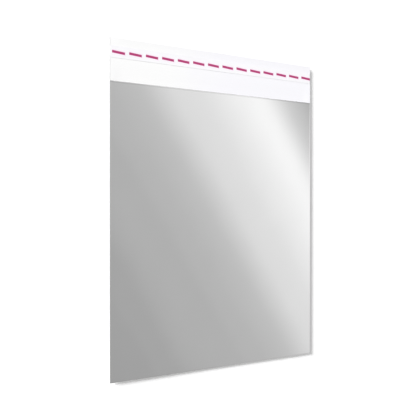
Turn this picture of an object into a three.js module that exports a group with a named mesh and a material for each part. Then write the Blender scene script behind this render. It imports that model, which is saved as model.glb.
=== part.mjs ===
// Flat self-seal bag of metallised film, empty, lying on its back panel with the sealing lip at +Y.
// Millimetres, +Z up. The origin is under the middle of the bag's outline, on the table.

import * as THREE from 'three';
import { mergeVertices } from 'three/addons/utils/BufferGeometryUtils.js';

// Driving dimensions of the film
const bagWidth = 230;
const bodyLength = 280; // bottom fold to mouth
const lipLength = 40; // mouth to the lip's free edge
const filmThickness = 0.08;
const weldHeight = 2; // side welds, front panel and lip above the table
const weldWidth = 1; // fused border outside the pocket
const beadRadius = 0.12; // melted bead along the hot-knife cut
const foldRadius = 0.15; // inside of the bottom fold
const foldRise = 3; // width over which the bottom fold opens from a weld
const backSlope = 40; // width over which the back panel comes down to the table
const mouthTurn = 0.15; // drop of the front panel's cut edge
const mouthTurnRun = 0.4;
const mouthSag = 0.2; // drop of the lip at the mouth, which leaves the mouth parted
const mouthRise = 10; // width over which the mouth parts from a weld

// Driving dimensions of the seal
const linerWidth = 11;
const linerThickness = 0.06;
const linerToFreeEdge = 7.5;
const adhesiveWidth = 7;
const adhesiveThickness = 0.05;
const stripEndGap = 0.3; // from the bead at each end of the strips
const levelMargin = 1; // length of level lip between the sagging film and the liner

// Mesh steps
const middleSteps = 3;
const slopeSteps = 6;
const riseSteps = 2;
const lipSteps = 3;
const foldSteps = 4;

// Places worked out from the dimensions
const halfWidth = bagWidth / 2;
const seamX = halfWidth - weldWidth;
const freeEdgeY = (bodyLength + lipLength) / 2;
const mouthY = freeEdgeY - lipLength;
const foldY = mouthY - bodyLength + foldRadius + filmThickness;
const linerY = freeEdgeY - linerToFreeEdge - linerWidth / 2;
const levelY = linerY - linerWidth / 2 - levelMargin;
const backDrop = weldHeight - filmThickness;
const stripHalfLength = halfWidth - 2 * beadRadius - stripEndGap;

// 0 below 0, 1 above 1, and an S-curve between
function ease(value) {
  return THREE.MathUtils.smoothstep(value, 0, 1);
}

// 0 at the side welds and 1 from a given distance inside them
function insideWelds(x, run) {
  return ease((seamX - Math.abs(x)) / run);
}

// Underside of the front panel, level with the welds until its cut edge curls down
function frontHeight(x, y) {
  const turned = Math.max(0, 1 - (mouthY - y) / mouthTurnRun);
  return weldHeight - mouthTurn * turned ** 2 * insideWelds(x, mouthRise);
}

// Middle of the bottom fold's turn
function foldCentre(x) {
  return weldHeight - foldRadius * insideWelds(x, foldRise);
}

// Upper side of the back panel and of the lip
function backHeight(x, y) {
  const fromFold = ease((y - foldY) / backSlope);
  const fromMouth = ease((mouthY - y) / backSlope);
  const sag = mouthSag * ease((levelY - y) / (levelY - mouthY)) * insideWelds(x, mouthRise);
  const belly = backDrop * insideWelds(x, backSlope);
  const atFold = 2 * (weldHeight - foldCentre(x)) * (1 - fromFold);
  return weldHeight - atFold - fromFold * THREE.MathUtils.lerp(sag, belly, fromMouth);
}

// Evenly spaced values after start, up to end
function spaced(start, end, steps) {
  return Array.from({ length: steps }, (_, i) => start + ((end - start) * (i + 1)) / steps);
}

// Columns of the mesh across the pocket, close together where the film bends
function pocketColumns() {
  const right = [
    ...spaced(0, seamX - backSlope, middleSteps),
    ...spaced(seamX - backSlope, seamX - foldRise, slopeSteps),
    ...spaced(seamX - foldRise, seamX, riseSteps),
  ];
  return [...right.map((x) => -x).reverse(), 0, ...right];
}

// The bead's half-section: how far each of its columns lies outside the seam, and how high its skin bulges
const beadSection = [
  { out: weldWidth - 2 * beadRadius, bulge: filmThickness },
  { out: weldWidth - beadRadius, bulge: beadRadius },
  { out: weldWidth, bulge: 0 },
];

// Height of the bead's skin over the weld plane, or 0 in the pocket's columns
function beadBulge(x) {
  const out = Math.abs(x) - seamX;
  const found = beadSection.find((point) => Math.abs(point.out - out) < 1e-6);
  return found ? found.bulge : 0;
}

const pocketX = pocketColumns();
const rightBeadX = beadSection.map((point) => seamX + point.out);
const allX = [...rightBeadX.map((x) => -x).reverse(), ...pocketX, ...rightBeadX];

const bodyY = [
  foldY,
  ...spaced(foldY, foldY + backSlope, slopeSteps),
  ...spaced(foldY + backSlope, mouthY - backSlope, middleSteps),
  ...spaced(mouthY - backSlope, mouthY - mouthTurnRun, slopeSteps),
  ...spaced(mouthY - mouthTurnRun, mouthY, riseSteps),
];
const lipY = [mouthY, ...spaced(mouthY, levelY, lipSteps), ...spaced(levelY, freeEdgeY, 1)];
const sheetY = [...bodyY, ...lipY.slice(1)];

// Skins of the film. Outside the seam each follows the bead.
function frontOuter(x, y) {
  const inPocket = Math.abs(x) <= seamX;
  return inPocket ? frontHeight(x, y) + filmThickness : weldHeight + beadBulge(x);
}

function backOuter(x, y) {
  const inPocket = Math.abs(x) <= seamX;
  return inPocket ? backHeight(x, y) - filmThickness : weldHeight - beadBulge(x);
}

function lipTop(x, y) {
  const inPocket = Math.abs(x) <= seamX;
  return inPocket ? backHeight(x, y) : weldHeight + Math.max(0, beadBulge(x) - filmThickness);
}

// Grid of points on a skin
function skin(xs, ys, height) {
  return ys.map((y) => xs.map((x) => new THREE.Vector3(x, y, height(x, y))));
}

// Half a turn of the film around the bottom fold, from its upper side to its lower side
function foldTurn(xs, upper) {
  return Array.from({ length: foldSteps + 1 }, (_, i) => {
    const angle = (Math.PI * i) / foldSteps;
    return xs.map((x) => {
      const radius = upper(x, foldY) - foldCentre(x);
      const y = foldY - radius * Math.sin(angle);
      return new THREE.Vector3(x, y, foldCentre(x) + radius * Math.cos(angle));
    });
  });
}

// Closed mesh from grids of points. A turned grid faces the other way.
function closedMesh(patches) {
  const positions = [];
  const addTriangle = (a, b, c) => {
    const doubled = new THREE.Triangle(a, b, c).getArea() < 1e-9;
    if (!doubled) positions.push(...a.toArray(), ...b.toArray(), ...c.toArray());
  };
  for (const { grid, turned } of patches) {
    for (let i = 0; i + 1 < grid.length; i += 1) {
      for (let j = 0; j + 1 < grid[i].length; j += 1) {
        const [a, b] = [grid[i][j], grid[i][j + 1]];
        const [d, c] = [grid[i + 1][j], grid[i + 1][j + 1]];
        const corners = turned ? [a, d, c, b] : [a, b, c, d];
        addTriangle(corners[0], corners[1], corners[2]);
        addTriangle(corners[0], corners[2], corners[3]);
      }
    }
  }
  const geometry = new THREE.BufferGeometry();
  geometry.setAttribute('position', new THREE.Float32BufferAttribute(positions, 3));
  return mergeVertices(geometry, 1e-3);
}

// The cut edge at the mouth stands between the front panel's two skins, and beside the pocket
// it steps down the bead to the lip.
function mouthLower(x, y) {
  return Math.abs(x) <= seamX ? frontHeight(x, y) : lipTop(x, y);
}

function buildFilm() {
  const geometry = closedMesh([
    { grid: skin(allX, bodyY, frontOuter) },
    { grid: skin(pocketX, bodyY, frontHeight), turned: true },
    { grid: skin(pocketX, bodyY, backHeight) },
    { grid: skin(allX, lipY, lipTop) },
    { grid: skin(allX, sheetY, backOuter), turned: true },
    { grid: foldTurn(allX, frontOuter), turned: true },
    { grid: foldTurn(pocketX, frontHeight) },
    { grid: [...skin(allX, [mouthY], frontOuter), ...skin(allX, [mouthY], mouthLower)] },
    { grid: [...skin(allX, [freeEdgeY], lipTop), ...skin(allX, [freeEdgeY], backOuter)] },
  ]);
  const silver = new THREE.MeshStandardMaterial({ color: 0xc8c9cc, metalness: 1, roughness: 0.25 });
  const mesh = new THREE.Mesh(geometry, silver);
  mesh.name = 'bag_film';
  return mesh;
}

// A flat band across the lip, with its underside at a given height
function buildStrip(name, width, thickness, underside, material) {
  const geometry = new THREE.BoxGeometry(2 * stripHalfLength, width, thickness);
  const mesh = new THREE.Mesh(geometry, material);
  mesh.position.set(0, linerY, underside + thickness / 2);
  mesh.name = name;
  return mesh;
}

const adhesive = new THREE.MeshStandardMaterial({ color: 0xf2f1ec, metalness: 0, roughness: 0.4 });
const liner = new THREE.MeshStandardMaterial({ color: 0xfbfafc, metalness: 0, roughness: 0.35 });
const linerUnderside = weldHeight + adhesiveThickness;

const bag = new THREE.Group();
bag.add(buildFilm());
bag.add(buildStrip('adhesive_strip', adhesiveWidth, adhesiveThickness, weldHeight, adhesive));
bag.add(buildStrip('release_liner', linerWidth, linerThickness, linerUnderside, liner));

export default bag;
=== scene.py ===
"""Flat self-seal bag of metallised film on a white table, seen from its upper left."""

import math

import bpy
from mathutils import Matrix, Vector, noise


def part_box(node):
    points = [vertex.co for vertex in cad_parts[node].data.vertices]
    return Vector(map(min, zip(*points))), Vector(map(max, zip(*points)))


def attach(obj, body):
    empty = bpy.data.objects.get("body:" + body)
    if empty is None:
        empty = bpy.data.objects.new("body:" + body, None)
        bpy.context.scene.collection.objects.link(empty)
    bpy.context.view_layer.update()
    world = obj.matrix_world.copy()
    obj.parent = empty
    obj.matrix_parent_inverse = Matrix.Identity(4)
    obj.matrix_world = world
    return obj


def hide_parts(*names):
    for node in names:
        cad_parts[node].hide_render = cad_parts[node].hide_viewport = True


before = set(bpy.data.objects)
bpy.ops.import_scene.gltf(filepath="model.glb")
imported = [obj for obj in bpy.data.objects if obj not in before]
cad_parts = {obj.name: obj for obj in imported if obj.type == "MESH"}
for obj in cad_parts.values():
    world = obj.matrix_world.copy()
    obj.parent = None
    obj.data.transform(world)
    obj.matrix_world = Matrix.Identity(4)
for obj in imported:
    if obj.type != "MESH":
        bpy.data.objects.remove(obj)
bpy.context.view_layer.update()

MM = 0.001

# Places of the CAD model
film_low, film_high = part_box("bag_film")
adhesive_low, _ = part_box("adhesive_strip")
liner_low, liner_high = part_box("release_liner")

# The film's sizes, the same as in the CAD model
FILM_THICKNESS = 0.08 * MM
WELD_HEIGHT = adhesive_low[2]
WELD_WIDTH = 1.0 * MM
BEAD_RADIUS = 0.12 * MM
FOLD_RADIUS = 0.15 * MM
FOLD_RISE = 3 * MM
LIP_LENGTH = 40 * MM
BACK_SLOPE = 40 * MM
MOUTH_TURN = 0.15 * MM
MOUTH_TURN_RUN = 0.4 * MM
MOUTH_SAG = 0.2 * MM
MOUTH_RISE = 10 * MM
LEVEL_MARGIN = 1 * MM

# Places worked out from them
HALF_WIDTH = film_high[0]
SEAM_X = HALF_WIDTH - WELD_WIDTH
FREE_EDGE_Y = film_high[1]
MOUTH_Y = FREE_EDGE_Y - LIP_LENGTH
FOLD_Y = film_low[1] + FOLD_RADIUS + FILM_THICKNESS
LEVEL_Y = liner_low[1] - LEVEL_MARGIN
BACK_DROP = WELD_HEIGHT - FILM_THICKNESS

# Finer shapes that the CAD model leaves out
BEAD_SHOULDER = 0.7  # side and height of the bead's skin between its top and its foot, in radii
FREE_EDGE_CURL = 0.15 * MM
CURL_POWER = 1.5
CREASE_X = 28.5 * MM
CREASE_RUN = 1 * MM
CREASE_HEIGHT = 0.03 * MM
CREASE_FADE = 1 / 3  # share of the film past the liner over which the crease comes up
RIPPLE_LENGTH = 70 * MM
RIPPLE_HEIGHT = 0.012 * MM
RIPPLE_MARGIN = 20 * MM
RIPPLE_SEED = 3.1
FOLD_LIFT = 0.5 * MM
FOLD_LIFT_X = -10 * MM
FOLD_LIFT_RUN_X = 80 * MM
FOLD_LIFT_Y = -60 * MM
FOLD_LIFT_RUN_Y = 100 * MM
LINER_LIFT = 0.03 * MM
LIFT_RUN = 1.5 * MM
LIFT_WAVE = 30 * MM
LIFT_MEAN = 0.7
LIFT_CHANGE = 0.6
LIFT_SEED = (5.0, 7.7)

# Painted shade: a darker line on the front panel, behind its cut edge at the mouth
MOUTH_BORDER = 2 * MM
SHADE_LINE_IN = 1.1 * MM
SHADE_LINE_WIDTH = 1.3 * MM
SHADE_LINE_FADE = 0.2 * MM

# Mesh steps
MIDDLE_COLUMNS = 40
RISE_COLUMNS = 8
CREASE_COLUMNS = 3  # on each side of the crease
FOLD_ROWS = 8
FOLD_ROWS_RUN = 10 * MM
BODY_ROWS = 90
BORDER_ROWS = 2
TURN_ROWS = 8
SAG_ROWS = 8
LIP_ROWS = 12
FOLD_TURN_STEPS = 8
STRIP_COLUMNS = 120
STRIP_ROWS = 22
SHARP_ANGLE = math.radians(40)
POINT_DIGITS = 8  # decimals of a metre to which two points count as one

# Camera: a normal lens, tilted towards +X and moved off the bag's middle towards -X
CAMERA_PLACE = Vector((-259.7, -0.8, 485.6)) * MM
CAMERA_TILT = math.radians(27.22)
CAMERA_LENS = 46.09
CAMERA_SENSOR = 36
CAMERA_SHIFT_Y = 0.0025
CAMERA_NEAREST = 10 * MM

# Reflected ceiling card
CARD_HEIGHT = 1.2
CARD_SIZE = 24.0
CARD_DIRECTION = math.atan2(0.53, 0.85)
CARD_BRIGHTEST = 1.2
# Distance across the card from over the bag's middle, and brightness there. The camera sees the near
# bands mirrored in the film, and the far ones show from other sides.
CARD_FAR_BANDS = (
    (-12.0, 0.90),
    (-9.5, 0.45),
    (-7.5, 0.85),
    (-6.0, 0.45),
    (-4.6, 0.95),
    (-3.4, 0.45),
    (-2.4, 0.80),
    (-1.7, 0.50),
    (-1.1, 0.72),
    (-0.6, 0.45),
    (-0.2, 0.40),
    (1.4, 0.38),
    (2.2, 0.70),
    (3.0, 0.42),
    (4.0, 0.80),
    (5.2, 0.45),
    (6.5, 0.95),
    (8.5, 0.50),
    (12.0, 0.80),
)
CARD_NEAR_BANDS = (
    (-0.2, 0.40),
    (-0.04, 0.44),
    (0.06, 0.45),
    (0.08, 0.47),
    (0.14, 0.47),
    (0.19, 0.52),
    (0.24, 0.54),
    (0.33, 0.54),
    (0.36, 0.57),
    (0.41, 0.58),
    (0.51, 0.65),
    (0.61, 0.88),
    (0.70, 0.92),
    (0.82, 1.08),
    (0.89, 1.17),
    (0.93, 1.14),
    (1.01, 0.76),
    (1.10, 0.56),
    (1.40, 0.38),
)

# Key light: low, soft and from the upper left
KEY_HEADING = math.radians(152)
KEY_HEIGHT = math.radians(17.2)
KEY_SPREAD = math.radians(19)
KEY_LEVEL = 0.56  # brightness that it gives to level white
AMBIENT = 0.49  # brightness that the surroundings give to it

# White table
FLOOR_HALF = 4.0
FLOOR_GREY = 0.95
FLOOR_LIFT = 0.1

# Printed dashes on the liner
DASH_PERIOD = 16.59 * MM
DASH_LENGTH = 12.5 * MM
DASH_THICKNESS = 2.4 * MM
DASH_START = 2.1 * MM
DASH_SLANT = math.tan(math.radians(4.3))
DASH_ABOVE_MOUTH = 26.65 * MM
INK_EDGE = 0.4 * MM
INK_BLEED = 1.6 * MM
INK_BLEED_STRENGTH = 0.45

# Colours. A pair holds the two ends of an uneven tone.
SILVER = ((0.793, 0.793, 0.793, 1), (0.807, 0.807, 0.807, 1))
# Darker silver, painted as shade along the mouth's cut edge
SILVER_PAINTED_SHADE = (0.705, 0.705, 0.705, 1)
BEAD_SILVER = ((0.62, 0.62, 0.62, 1), (0.74, 0.74, 0.74, 1))
FILM_WHITE = ((0.944, 0.944, 0.944, 1), (0.918, 0.912, 0.948, 1))
ADHESIVE_WHITE = ((0.82, 0.80, 0.72, 1), (0.90, 0.89, 0.84, 1))
LINER_WHITE = ((0.91, 0.905, 0.93, 1), (0.94, 0.935, 0.955, 1))
INK = ((0.41, 0.025, 0.135, 1), (0.47, 0.035, 0.170, 1))
INK_STAIN = (0.98, 0.60, 0.89, 1)

# Change of the white film's tone across the bag, as a share of the way from its first to its second
COOLER_RUN = 70 * MM
COOLER_AT_MIDDLE = 0.9
COOLER_UNEVEN = 0.25

# The silver skin's streaks are stretched along the web, and its bump is streaks and a share of grain
STREAK_STRETCH = (1.0, 0.03, 1.0)
GRAIN_SHARE = 0.5

# Most of a noise texture's values lie between these
NOISE_LOW = 0.3
NOISE_HIGH = 0.7

# Sockets of a Mix node that mixes colours
MIX_FACTOR = 0
MIX_FIRST = 6
MIX_SECOND = 7
MIX_RESULT = 2


def ease(value):
    """0 below 0, 1 above 1, and an S-curve between."""
    value = min(1.0, max(0.0, value))
    return value * value * (3 - 2 * value)


def spaced(start, end, steps):
    """Evenly spaced values after start, up to end."""
    return [start + (end - start) * (i + 1) / steps for i in range(steps)]


def grey(level):
    return (level, level, level, 1)


def add_object(name, data):
    thing = bpy.data.objects.new(name, data)
    bpy.context.collection.objects.link(thing)
    return thing


def make_camera():
    data = bpy.data.cameras.new("camera")
    data.sensor_width = CAMERA_SENSOR
    data.lens = CAMERA_LENS
    data.shift_y = CAMERA_SHIFT_Y
    data.clip_start = CAMERA_NEAREST
    camera = add_object("camera", data)
    back = Vector((-math.sin(CAMERA_TILT), 0, math.cos(CAMERA_TILT)))
    up = Vector((0, 1, 0))
    right = up.cross(back)
    turn = Matrix((right, up, back)).transposed().to_4x4()
    camera.matrix_world = Matrix.Translation(CAMERA_PLACE) @ turn
    bpy.context.scene.camera = camera


class Nodes:
    """Short calls for building one node tree."""

    def __init__(self, tree):
        self.tree = tree
        self.tree.nodes.clear()

    def feed(self, socket, value):
        """Link another node's output to the socket, or set the socket to a plain value."""
        if isinstance(value, bpy.types.NodeSocket):
            self.tree.links.new(value, socket)
        else:
            socket.default_value = value

    def add(self, kind, settings=None, **inputs):
        node = self.tree.nodes.new(kind)
        for key, value in (settings or {}).items():
            setattr(node, key, value)
        for key, value in inputs.items():
            self.feed(node.inputs[key], value)
        return node

    def math(self, operation, *values):
        node = self.add("ShaderNodeMath", {"operation": operation})
        for socket, value in zip(node.inputs, values):
            self.feed(socket, value)
        return node.outputs[0]

    def clamped(self, value):
        return self.math("MINIMUM", self.math("MAXIMUM", value, 0.0), 1.0)

    def coordinate(self, place, axis):
        return self.add("ShaderNodeSeparateXYZ", Vector=place).outputs[axis]

    def noise(self, place, scale, detail=2.0, roughness=0.5):
        settings = {"Scale": scale, "Detail": detail, "Roughness": roughness}
        return self.add("ShaderNodeTexNoise", Vector=place, **settings).outputs[0]

    def spread(self, value, low=0.0, high=1.0):
        """Noise brought from its own range to one from low to high."""
        node = self.add("ShaderNodeMapRange", Value=value)
        limits = {"From Min": NOISE_LOW, "From Max": NOISE_HIGH, "To Min": low, "To Max": high}
        for name, limit in limits.items():
            self.feed(node.inputs[name], limit)
        return node.outputs[0]

    def mix_color(self, factor, first, second):
        node = self.add("ShaderNodeMix", {"data_type": "RGBA"})
        self.feed(node.inputs[MIX_FACTOR], factor)
        self.feed(node.inputs[MIX_FIRST], first)
        self.feed(node.inputs[MIX_SECOND], second)
        return node.outputs[MIX_RESULT]


def new_material(name):
    """Empty material, its nodes, and the socket for its surface."""
    material = bpy.data.materials.new(name)
    material.use_nodes = True
    nodes = Nodes(material.node_tree)
    output = nodes.add("ShaderNodeOutputMaterial")
    return material, nodes, output.inputs["Surface"]


class Finish:
    """Material of one Principled shader, whose textures lie in the object's own space."""

    def __init__(self, name):
        self.material, self.nodes, surface = new_material(name)
        self.shader = self.nodes.add("ShaderNodeBsdfPrincipled")
        self.nodes.feed(surface, self.shader.outputs[0])
        self.place = self.nodes.add("ShaderNodeTexCoord").outputs["Object"]

    def set(self, color, roughness, metallic=0.0):
        self.nodes.feed(self.shader.inputs["Base Color"], color)
        self.nodes.feed(self.shader.inputs["Roughness"], roughness)
        self.nodes.feed(self.shader.inputs["Metallic"], metallic)

    def bump(self, height, strength, depth):
        bump = self.nodes.add("ShaderNodeBump", Strength=strength, Distance=depth, Height=height)
        self.nodes.feed(self.shader.inputs["Normal"], bump.outputs[0])


def silver_film(name, has_painted_shade=False):
    """Metallised skin: fine grain, faint streaks along the web, and a soft mirror finish.

    The front panel's border at the mouth has a fine line of painted shade behind its cut edge.
    """
    finish = Finish(name)
    nodes = finish.nodes
    along_web = nodes.add("ShaderNodeMapping", Vector=finish.place, Scale=STREAK_STRETCH)
    streaks = nodes.noise(along_web.outputs["Vector"], scale=900.0, detail=3.0, roughness=0.6)
    clouds = nodes.noise(finish.place, scale=25.0, detail=3.0)
    grain = nodes.noise(finish.place, scale=4000.0)
    tone = nodes.mix_color(nodes.spread(clouds), *SILVER)
    if has_painted_shade:
        # Painted shade: darker silver in a thin line behind the mouth's cut edge
        along = nodes.coordinate(finish.place, "Y")
        from_line = nodes.math("ABSOLUTE", nodes.math("SUBTRACT", along, MOUTH_Y - SHADE_LINE_IN))
        inside = nodes.math("SUBTRACT", SHADE_LINE_WIDTH / 2, from_line)
        painted_shade = nodes.clamped(nodes.math("DIVIDE", inside, SHADE_LINE_FADE))
        tone = nodes.mix_color(painted_shade, tone, SILVER_PAINTED_SHADE)
    finish.set(tone, roughness=nodes.spread(streaks, 0.05, 0.08), metallic=1.0)
    height = nodes.math("MULTIPLY_ADD", grain, GRAIN_SHARE, streaks)
    finish.bump(height, strength=0.08, depth=0.01 * MM)
    return finish.material


def white_film():
    """Inner face of the film, white and smooth, and cooler away from its left end."""
    finish = Finish("white_film")
    nodes = finish.nodes
    clouds = nodes.noise(finish.place, scale=40.0, detail=3.0)
    grain = nodes.noise(finish.place, scale=3000.0)
    across = nodes.coordinate(finish.place, "X")
    even = nodes.math("MULTIPLY_ADD", across, 1 / COOLER_RUN, COOLER_AT_MIDDLE)
    uneven = nodes.math("ADD", nodes.spread(clouds, -COOLER_UNEVEN, COOLER_UNEVEN), even)
    tone = nodes.mix_color(nodes.clamped(uneven), *FILM_WHITE)
    finish.set(tone, roughness=nodes.spread(clouds, 0.32, 0.4))
    finish.bump(grain, strength=0.15, depth=0.01 * MM)
    return finish.material


def melted_bead():
    """Film melted along the hot-knife cut, duller than the skin beside it."""
    finish = Finish("melted_bead")
    nodes = finish.nodes
    lumps = nodes.noise(finish.place, scale=2000.0)
    tone = nodes.mix_color(nodes.spread(lumps), *BEAD_SILVER)
    finish.set(tone, roughness=nodes.spread(lumps, 0.45, 0.55), metallic=1.0)
    return finish.material


def adhesive():
    """Dried pressure-sensitive adhesive, off-white with an uneven gloss."""
    finish = Finish("adhesive")
    nodes = finish.nodes
    blobs = nodes.noise(finish.place, scale=700.0, detail=3.0)
    tone = nodes.mix_color(nodes.spread(blobs), *ADHESIVE_WHITE)
    finish.set(tone, roughness=nodes.spread(blobs, 0.25, 0.45))
    finish.bump(blobs, strength=0.3, depth=0.03 * MM)
    return finish.material


def inside_dashes(nodes, place):
    """How far inside the nearest printed dash a point lies, or below 0 outside it."""
    along = nodes.math("SUBTRACT", nodes.coordinate(place, "X"), -HALF_WIDTH + DASH_START)
    cell = nodes.math("FLOORED_MODULO", along, DASH_PERIOD)
    from_middle = nodes.math("SUBTRACT", cell, DASH_LENGTH / 2)
    across = nodes.math("SUBTRACT", nodes.coordinate(place, "Y"), MOUTH_Y + DASH_ABOVE_MOUTH)
    slanted = nodes.math("MULTIPLY_ADD", from_middle, DASH_SLANT, across)
    end_gap = nodes.math("SUBTRACT", DASH_LENGTH / 2, nodes.math("ABSOLUTE", from_middle))
    side_gap = nodes.math("SUBTRACT", DASH_THICKNESS / 2, nodes.math("ABSOLUTE", slanted))
    return nodes.math("MINIMUM", end_gap, side_gap)


def liner_film():
    """Peel-off liner: white film with a row of slanted magenta dashes, whose ink bleeds faintly."""
    finish = Finish("liner_film")
    nodes = finish.nodes
    clouds = nodes.noise(finish.place, scale=60.0, detail=3.0)
    white = nodes.mix_color(nodes.spread(clouds), *LINER_WHITE)
    speckle = nodes.noise(finish.place, scale=1500.0)
    ink = nodes.mix_color(nodes.spread(speckle), *INK)
    inside = inside_dashes(nodes, finish.place)
    bleed = nodes.clamped(nodes.math("MULTIPLY_ADD", inside, 1 / INK_BLEED, 1.0))
    stain = nodes.math("MULTIPLY", bleed, INK_BLEED_STRENGTH)
    stained = nodes.mix_color(stain, white, INK_STAIN)
    printed = nodes.clamped(nodes.math("MULTIPLY_ADD", inside, 1 / INK_EDGE, 0.5))
    finish.set(nodes.mix_color(printed, stained, ink), roughness=nodes.spread(clouds, 0.28, 0.36))
    finish.bump(speckle, strength=0.1, depth=0.01 * MM)
    return finish.material


def closed_mesh(name, patches, materials):
    """Mesh object from grids of points: each patch is (rows of points, turned, material index)."""
    points = []
    index_of = {}
    faces = []
    kinds = []

    def index(point):
        key = tuple(round(value, POINT_DIGITS) for value in point)
        if key not in index_of:
            index_of[key] = len(points)
            points.append(key)
        return index_of[key]

    for rows, turned, kind in patches:
        for lower, upper in zip(rows, rows[1:]):
            for j in range(len(lower) - 1):
                corners = [lower[j], lower[j + 1], upper[j + 1], upper[j]]
                ring = list(dict.fromkeys(index(corner) for corner in corners))
                if len(ring) < 3:
                    continue
                faces.append(ring[::-1] if turned else ring)
                kinds.append(kind)
    mesh = bpy.data.meshes.new(name)
    mesh.from_pydata(points, [], faces)
    for polygon, kind in zip(mesh.polygons, kinds):
        polygon.material_index = kind
        polygon.use_smooth = True
    for material in materials:
        mesh.materials.append(material)
    mesh.set_sharp_from_angle(angle=SHARP_ANGLE)
    mesh.update()
    return add_object(name, mesh)


def inside_welds(x, run):
    """0 at the side welds and 1 from a given distance inside them."""
    return ease((SEAM_X - abs(x)) / run)


def ripple(x, y):
    """Smooth low waves in the front panel, none of them at its edges."""
    waves = RIPPLE_HEIGHT * noise.noise(Vector((x / RIPPLE_LENGTH, y / RIPPLE_LENGTH, RIPPLE_SEED)))
    from_ends = ease((y - FOLD_Y) / RIPPLE_MARGIN) * ease((MOUTH_Y - y) / RIPPLE_MARGIN)
    return waves * from_ends * inside_welds(x, RIPPLE_MARGIN)


def front_height(x, y):
    """Underside of the front panel, level with the welds until its cut edge curls down."""
    turned = max(0.0, 1 - (MOUTH_Y - y) / MOUTH_TURN_RUN)
    turn = MOUTH_TURN * turned**2 * inside_welds(x, MOUTH_RISE)
    return WELD_HEIGHT - turn + ripple(x, y)


def fold_centre(x):
    """Middle of the bottom fold's turn."""
    return WELD_HEIGHT - FOLD_RADIUS * inside_welds(x, FOLD_RISE)


def back_height(x, y):
    """Upper side of the back panel and of the lip."""
    from_fold = ease((y - FOLD_Y) / BACK_SLOPE)
    from_mouth = ease((MOUTH_Y - y) / BACK_SLOPE)
    sag = MOUTH_SAG * ease((LEVEL_Y - y) / (LEVEL_Y - MOUTH_Y)) * inside_welds(x, MOUTH_RISE)
    belly = BACK_DROP * inside_welds(x, BACK_SLOPE)
    at_fold = 2 * (WELD_HEIGHT - fold_centre(x)) * (1 - from_fold)
    past_liner = max(0.0, (y - liner_high[1]) / (FREE_EDGE_Y - liner_high[1]))
    curl = FREE_EDGE_CURL * past_liner**CURL_POWER * inside_welds(x, MOUTH_RISE)
    crease = CREASE_HEIGHT * ease(1 - abs(x - CREASE_X) / CREASE_RUN) * ease(past_liner / CREASE_FADE)
    height = WELD_HEIGHT - at_fold - from_fold * (sag + (belly - sag) * from_mouth)
    return height + curl + crease


# The bead's half-section: how far each of its columns lies outside the seam, and how high its skin bulges
BEAD_SECTION = (
    (WELD_WIDTH - 2 * BEAD_RADIUS, FILM_THICKNESS),
    (WELD_WIDTH - (1 + BEAD_SHOULDER) * BEAD_RADIUS, BEAD_SHOULDER * BEAD_RADIUS),
    (WELD_WIDTH - BEAD_RADIUS, BEAD_RADIUS),
    (WELD_WIDTH - (1 - BEAD_SHOULDER) * BEAD_RADIUS, BEAD_SHOULDER * BEAD_RADIUS),
    (WELD_WIDTH, 0.0),
)


def bead_bulge(x):
    """Height of the bead's skin over the weld plane, at one of the bead's columns."""
    out = abs(x) - SEAM_X
    nearest = min(BEAD_SECTION, key=lambda point: abs(point[0] - out))
    return nearest[1]


def in_pocket(x):
    return abs(x) <= SEAM_X


def front_outer(x, y):
    return front_height(x, y) + FILM_THICKNESS if in_pocket(x) else WELD_HEIGHT + bead_bulge(x)


def back_outer(x, y):
    return back_height(x, y) - FILM_THICKNESS if in_pocket(x) else WELD_HEIGHT - bead_bulge(x)


def lip_top(x, y):
    if in_pocket(x):
        return back_height(x, y)
    return WELD_HEIGHT + max(0.0, bead_bulge(x) - FILM_THICKNESS)


def mouth_lower(x, y):
    """Foot of the cut edge at the mouth, which steps down the bead to the lip beside the pocket."""
    return front_height(x, y) if in_pocket(x) else lip_top(x, y)


def skin(xs, ys, height):
    """Grid of points on a skin."""
    return [[(x, y, height(x, y)) for x in xs] for y in ys]


def cut(line, first, second):
    """Grid over a cut edge that follows a line of (x, y) places, from one skin to the other."""
    return [[(x, y, height(x, y)) for x, y in line] for height in (first, second)]


def fold_turn(xs, upper):
    """Half a turn of the film around the bottom fold."""
    rows = []
    for angle in [0.0] + spaced(0.0, math.pi, FOLD_TURN_STEPS):
        row = []
        for x in xs:
            centre = fold_centre(x)
            radius = upper(x, FOLD_Y) - centre
            row.append((x, FOLD_Y - radius * math.sin(angle), centre + radius * math.cos(angle)))
        rows.append(row)
    return rows


def settle_fold(mesh):
    """Lift the left half of the bottom fold a little, as the air in the bag holds it."""
    for vertex in mesh.vertices:
        near_fold = ease((FOLD_LIFT_Y - vertex.co.y) / FOLD_LIFT_RUN_Y)
        vertex.co.z += FOLD_LIFT * ease((FOLD_LIFT_X - vertex.co.x) / FOLD_LIFT_RUN_X) * near_fold


def pocket_columns():
    """Columns of the mesh across the pocket, close together at the welds and the crease."""
    rise_x = SEAM_X - FOLD_RISE
    right = spaced(0, rise_x, MIDDLE_COLUMNS) + spaced(rise_x, SEAM_X, RISE_COLUMNS)
    steps = range(-CREASE_COLUMNS, CREASE_COLUMNS + 1)
    crease = [CREASE_X + step * CREASE_RUN / CREASE_COLUMNS for step in steps]
    return sorted([-x for x in right] + [0.0] + right + crease)


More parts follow.
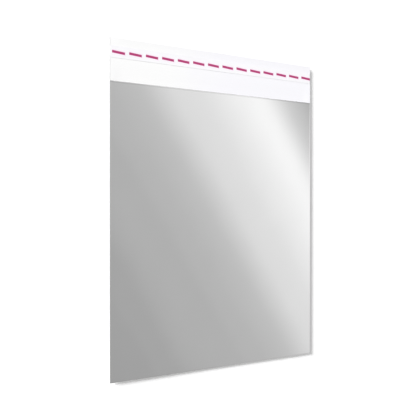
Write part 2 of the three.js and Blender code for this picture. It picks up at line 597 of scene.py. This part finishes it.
def build_film(materials):
    """The folded and welded sheet. Its materials are the silver, the white, the bead and the border."""
    pocket = pocket_columns()
    bead_x = [SEAM_X + out for out, _ in BEAD_SECTION]
    columns = [-x for x in reversed(bead_x)] + pocket + bead_x
    near_fold_y = FOLD_Y + FOLD_ROWS_RUN
    border_y = MOUTH_Y - MOUTH_BORDER
    turn_y = MOUTH_Y - MOUTH_TURN_RUN
    main = [FOLD_Y] + spaced(FOLD_Y, near_fold_y, FOLD_ROWS) + spaced(near_fold_y, border_y, BODY_ROWS)
    border = [border_y] + spaced(border_y, turn_y, BORDER_ROWS) + spaced(turn_y, MOUTH_Y, TURN_ROWS)
    body = main + border[1:]
    lip = [MOUTH_Y] + spaced(MOUTH_Y, LEVEL_Y, SAG_ROWS) + spaced(LEVEL_Y, FREE_EDGE_Y, LIP_ROWS)
    sheet = body + lip[1:]
    mouth_line = [(x, MOUTH_Y) for x in columns]
    free_edge = [(x, FREE_EDGE_Y) for x in columns]
    outside, inside, bead, painted_shade = range(4)
    patches = [
        (skin(columns, main, front_outer), False, outside),
        # The border behind the mouth gets the silver with the line of painted shade
        (skin(columns, border, front_outer), False, painted_shade),
        (skin(pocket, body, front_height), True, inside),
        (skin(pocket, body, back_height), False, inside),
        (skin(columns, lip, lip_top), False, inside),
        (skin(columns, sheet, back_outer), True, outside),
        (fold_turn(columns, front_outer), True, outside),
        (fold_turn(pocket, front_height), False, inside),
        (cut(mouth_line, front_outer, mouth_lower), False, inside),
        (cut(free_edge, lip_top, back_outer), False, inside),
    ]
    piece = closed_mesh("film", patches, materials)
    for polygon in piece.data.polygons:
        if abs(polygon.center.x) > bead_x[0]:
            polygon.material_index = bead
    settle_fold(piece.data)
    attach(piece, "root")
    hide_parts("bag_film")


def build_strip(name, node, material, lift):
    """A thin band over the lip, flat in its middle, whose long edges rise by about a given lift."""
    low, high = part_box(node)
    xs = [low[0]] + spaced(low[0], high[0], STRIP_COLUMNS)
    ys = [low[1]] + spaced(low[1], high[1], STRIP_ROWS)

    def rise(x, y):
        from_edge = min(y - low[1], high[1] - y)
        uneven = LIFT_MEAN + LIFT_CHANGE * noise.noise(Vector((x / LIFT_WAVE, *LIFT_SEED)))
        return lift * uneven * ease(1 - from_edge / LIFT_RUN)

    def top(x, y):
        return high[2] + rise(x, y)

    def under(x, y):
        return low[2] + rise(x, y)

    front_edge, back_edge = [[(x, end) for x in xs] for end in (low[1], high[1])]
    left_end, right_end = [[(end, y) for y in ys] for end in (low[0], high[0])]
    patches = [
        (skin(xs, ys, top), False, 0),
        (skin(xs, ys, under), True, 0),
        (cut(front_edge, under, top), False, 0),
        (cut(back_edge, top, under), False, 0),
        (cut(left_end, top, under), False, 0),
        (cut(right_end, under, top), False, 0),
    ]
    piece = closed_mesh(name, patches, [material])
    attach(piece, "root")
    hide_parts(node)


def seen_directly(nodes):
    """1 for rays from the camera, a mirror or a glass, and 0 for light."""
    path = nodes.add("ShaderNodeLightPath")
    seen = nodes.math("MAXIMUM", path.outputs["Is Camera Ray"], path.outputs["Is Glossy Ray"])
    return nodes.math("MAXIMUM", seen, path.outputs["Is Transmission Ray"])


def add_stage(name, half, material, faces_up=True):
    """A level square with its centre at the origin, for the floor and the card."""
    corners = [(-half, -half, 0), (half, -half, 0), (half, half, 0), (-half, half, 0)]
    ring = (0, 1, 2, 3) if faces_up else (0, 3, 2, 1)
    mesh = bpy.data.meshes.new(name)
    mesh.from_pydata(corners, [], [ring])
    mesh.materials.append(material)
    square = add_object(name, mesh)
    return square


def make_floor():
    material, nodes, surface = new_material("floor")
    diffuse = nodes.add("ShaderNodeBsdfDiffuse", Color=grey(FLOOR_GREY))
    strength = nodes.math("MULTIPLY", seen_directly(nodes), FLOOR_LIFT)
    glow = nodes.add("ShaderNodeEmission", Color=grey(1), Strength=strength)
    both = nodes.add("ShaderNodeAddShader")
    nodes.feed(both.inputs[0], diffuse.outputs[0])
    nodes.feed(both.inputs[1], glow.outputs[0])
    nodes.feed(surface, both.outputs[0])
    add_stage("floor", FLOOR_HALF, material)


def make_world():
    world = bpy.data.worlds.new("world")
    world.use_nodes = True
    nodes = Nodes(world.node_tree)
    output = nodes.add("ShaderNodeOutputWorld")
    strength = nodes.math("MULTIPLY_ADD", seen_directly(nodes), 1 - AMBIENT, AMBIENT)
    sky = nodes.add("ShaderNodeBackground", Color=grey(1), Strength=strength)
    nodes.feed(output.inputs["Surface"], sky.outputs[0])
    bpy.context.scene.world = world


def card_bands(nodes, along, bands):
    """Grey that goes smoothly from band to band along the card."""
    start, end = bands[0][0], bands[-1][0]
    share = nodes.math("DIVIDE", nodes.math("SUBTRACT", along, start), end - start)
    ramp = nodes.add("ShaderNodeValToRGB")
    nodes.feed(ramp.inputs[0], share)
    stops = ramp.color_ramp.elements
    while len(stops) < len(bands):
        stops.new(0.5)
    for stop, (distance, level) in zip(stops, bands):
        stop.position = (distance - start) / (end - start)
        stop.color = grey(level / CARD_BRIGHTEST)
    return ramp.outputs[0]


def make_ceiling_card():
    """A wide card over the bag. Its brightness changes along one diagonal, and the film mirrors it."""
    material, nodes, surface = new_material("ceiling_card")
    place = nodes.add("ShaderNodeTexCoord").outputs["Object"]
    along = nodes.coordinate(place, "X")
    start, end = CARD_NEAR_BANDS[0][0], CARD_NEAR_BANDS[-1][0]
    is_near = nodes.math("COMPARE", along, (start + end) / 2, (end - start) / 2)
    far = card_bands(nodes, along, CARD_FAR_BANDS)
    near = card_bands(nodes, along, CARD_NEAR_BANDS)
    color = nodes.mix_color(is_near, far, near)
    glow = nodes.add("ShaderNodeEmission", Color=color, Strength=CARD_BRIGHTEST)
    nodes.feed(surface, glow.outputs[0])
    card = add_stage("ceiling_card", CARD_SIZE / 2, material, faces_up=False)
    card.location = (0, 0, CARD_HEIGHT)
    card.rotation_euler = (0, 0, CARD_DIRECTION)
    card.visible_camera = False
    card.visible_diffuse = False
    card.visible_shadow = False


def make_key():
    data = bpy.data.lights.new("key", "SUN")
    data.angle = KEY_SPREAD
    data.energy = KEY_LEVEL * math.pi / math.sin(KEY_HEIGHT)
    key = add_object("key", data)
    level = math.cos(KEY_HEIGHT)
    towards = Vector((math.cos(KEY_HEADING) * level, math.sin(KEY_HEADING) * level, math.sin(KEY_HEIGHT)))
    key.rotation_euler = towards.to_track_quat("Z", "Y").to_euler()
    key.visible_glossy = False


make_camera()
# The border's silver has a line of painted shade behind the mouth's cut edge
border_skin = silver_film("mouth_border_painted_shade", has_painted_shade=True)
build_film([silver_film("silver_film"), white_film(), melted_bead(), border_skin])
build_strip("adhesive_band", "adhesive_strip", adhesive(), lift=0.0)
build_strip("peel_liner", "release_liner", liner_film(), lift=LINER_LIFT)
make_floor()
make_world()
make_ceiling_card()
make_key()
bpy.context.scene.view_settings.view_transform = "Standard"
